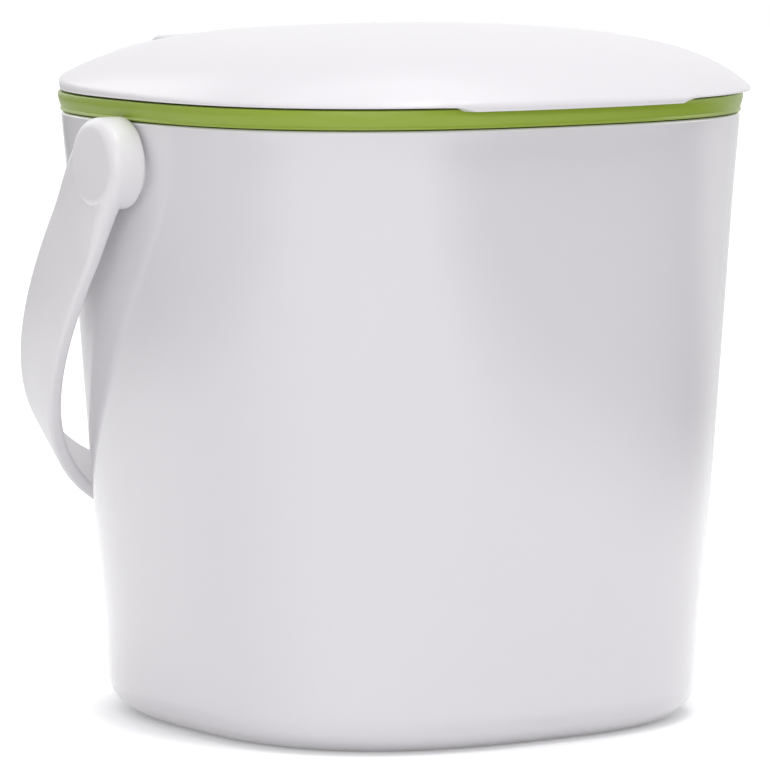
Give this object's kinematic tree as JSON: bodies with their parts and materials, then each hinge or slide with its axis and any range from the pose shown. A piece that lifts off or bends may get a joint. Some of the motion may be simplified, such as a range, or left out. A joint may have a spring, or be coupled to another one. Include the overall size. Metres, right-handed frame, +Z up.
{
  "type": "compost caddy",
  "caption": "Tapered rounded-square countertop scrap caddy with a lift-off rim collar, a domed lid hinged at the back with a finger lip at the front, and a swinging bail handle.",
  "frame": {"origin": "middle of the flat foot under the bucket", "axes": "+Z up, the lid's finger lip and front towards -Y, the lid's hinge towards +Y, the handle's pivots on the X direction"},
  "size_m": [0.184, 0.1781, 0.1786],
  "materials": {
    "body_plastic": "moulded, glossy, white",
    "lid_plastic": "moulded, satin gloss, white",
    "liner_plastic": "moulded, satin, white",
    "collar_plastic": "moulded, satin, leaf green",
    "handle_plastic": "moulded, satin, white",
    "seal_rubber": "soft, matt, pale grey",
    "pin_steel": "drawn wire"
  },
  "bodies": {
    "bucket": {"bucket": "body_plastic"},
    "collar": {"collar": "collar_plastic", "collar_seal": "seal_rubber", "hinge_pin": "pin_steel"},
    "lid": {"lid": "lid_plastic", "lid_liner": "liner_plastic", "lid_seal": "seal_rubber"},
    "handle": {"handle": "handle_plastic", "left_hub": "handle_plastic", "right_hub": "handle_plastic"}
  },
  "joints": [
    {"name": "collar_lift", "type": "slide", "parent": "bucket", "child": "collar", "axis": [0, 0, 1], "range_m": [0, 0.025]},
    {"name": "lid_hinge", "type": "hinge", "parent": "collar", "child": "lid", "pos_m": [0, 0.084, 0.1686], "axis": [-1, 0, 0], "range_deg": [0, 105]},
    {"name": "handle_swing", "type": "hinge", "parent": "bucket", "child": "handle", "pos_m": [0, 0, 0.14675], "axis": [1, 0, 0], "range_deg": [0, 277]}
  ]
}
